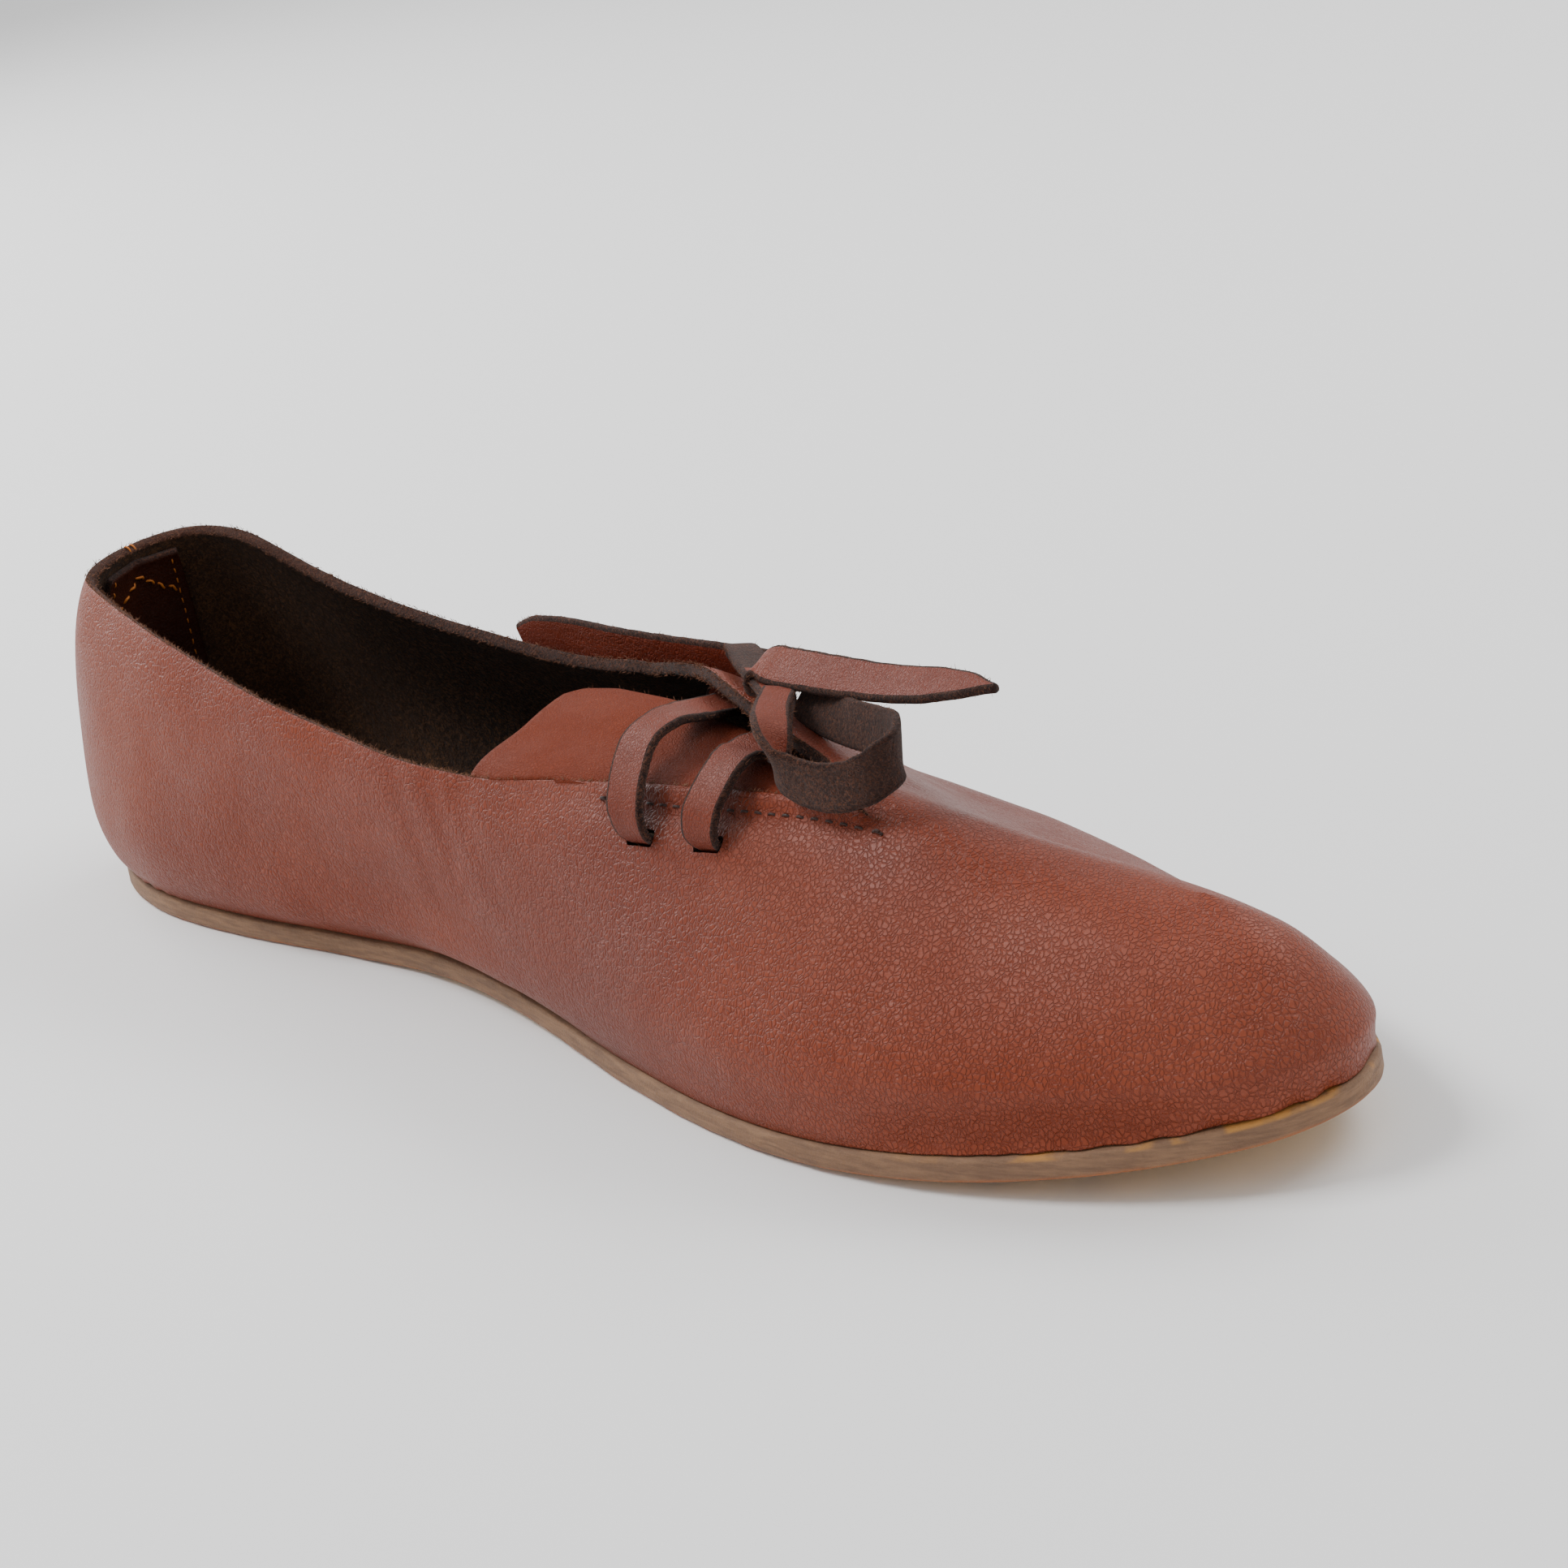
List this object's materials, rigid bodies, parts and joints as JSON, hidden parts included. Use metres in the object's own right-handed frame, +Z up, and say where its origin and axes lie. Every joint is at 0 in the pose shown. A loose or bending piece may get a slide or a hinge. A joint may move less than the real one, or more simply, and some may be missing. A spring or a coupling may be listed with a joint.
{
  "type": "medieval lace-up shoe",
  "caption": "Low left leather shoe with a pointed toe, a side-laced throat over a sewn gusset, and a flat nailed leather sole.",
  "frame": {"origin": "on the floor under the middle of the heel, on the sole's heel rest face", "axes": "+X from heel to toe, +Y to the outer side of the left foot, +Z up"},
  "size_m": [0.2908, 0.0891, 0.0609],
  "materials": {
    "upper_leather": "satin reddish-brown grain leather, dark brown suede inside",
    "lace_leather": "reddish-brown grain strip with a dark fuzzy flesh side",
    "sole_leather": "pale honey vegetable-tanned sole leather with a grey-brown edge",
    "insole_leather": "dark olive-brown matt leather",
    "nail_steel": "steel-grey round nail heads"
  },
  "bodies": {
    "root": {"outsole": "sole_leather", "insole": "insole_leather", "upper": "upper_leather", "gusset": "upper_leather", "heel_stay": "upper_leather", "lace_crossings": "lace_leather", "lace_side": "lace_leather", "lace_loop": "lace_leather", "lace_front_end": "lace_leather", "lace_back_end": "lace_leather", "lace_knot": "lace_leather", "nail_01": "nail_steel", "nail_02": "nail_steel", "nail_03": "nail_steel", "nail_04": "nail_steel", "nail_05": "nail_steel", "nail_06": "nail_steel", "nail_07": "nail_steel", "nail_08": "nail_steel", "nail_09": "nail_steel", "nail_10": "nail_steel", "nail_11": "nail_steel", "nail_12": "nail_steel", "nail_13": "nail_steel", "nail_14": "nail_steel", "nail_15": "nail_steel", "nail_16": "nail_steel", "nail_17": "nail_steel", "nail_18": "nail_steel", "nail_19": "nail_steel", "nail_20": "nail_steel", "nail_21": "nail_steel", "nail_22": "nail_steel", "nail_23": "nail_steel", "nail_24": "nail_steel", "nail_25": "nail_steel", "nail_26": "nail_steel", "nail_27": "nail_steel", "nail_28": "nail_steel", "nail_29": "nail_steel", "nail_30": "nail_steel", "nail_31": "nail_steel", "nail_32": "nail_steel", "nail_33": "nail_steel", "nail_34": "nail_steel", "nail_35": "nail_steel", "nail_36": "nail_steel", "nail_37": "nail_steel", "nail_38": "nail_steel", "nail_39": "nail_steel", "nail_40": "nail_steel", "nail_41": "nail_steel", "nail_42": "nail_steel"}
  },
  "joints": []
}
